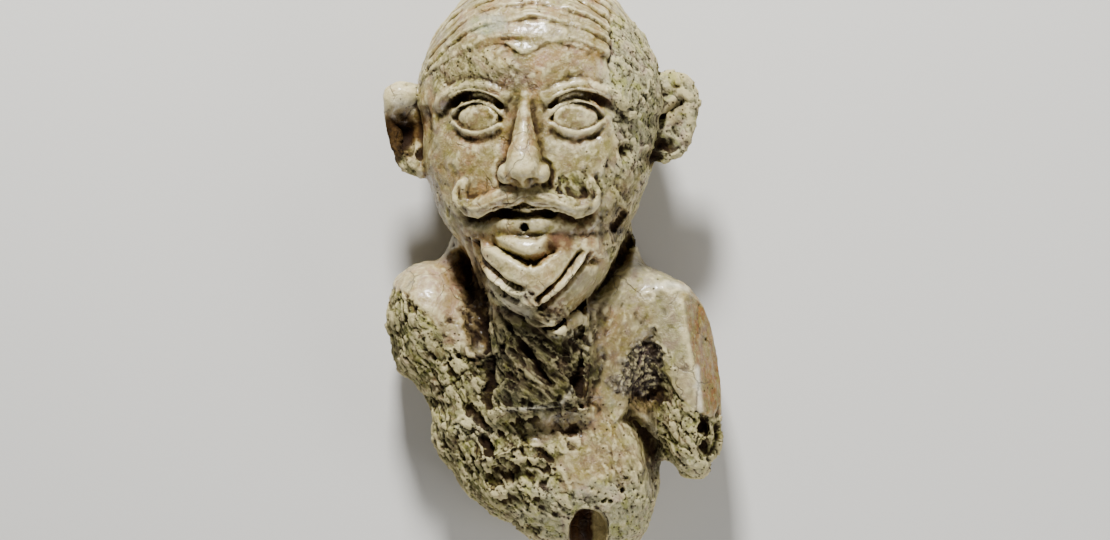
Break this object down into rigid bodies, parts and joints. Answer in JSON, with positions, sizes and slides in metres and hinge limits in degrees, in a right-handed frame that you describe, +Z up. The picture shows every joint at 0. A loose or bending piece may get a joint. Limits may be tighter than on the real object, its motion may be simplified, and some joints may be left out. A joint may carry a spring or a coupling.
{
  "type": "figurine",
  "caption": "Carved bone figurine of a bearded man, broken at the waist, one arm lost and the other broken, with a broken-open peg socket below.",
  "frame": {"origin": "under the middle of the figure, on the surface that it lies on", "axes": "+Y towards the crown, +X towards the figure's left arm, +Z up out of the chest, with the figure lying on its back"},
  "size_m": [0.057, 0.0978, 0.0381],
  "materials": {
    "bone": "weathered bone or antler: waxy and olive-beige where the carved skin is whole, matt, pale and porous where it is broken, dark brown in the grooves"
  },
  "bodies": {
    "root": {"figurine": "bone"}
  },
  "joints": []
}
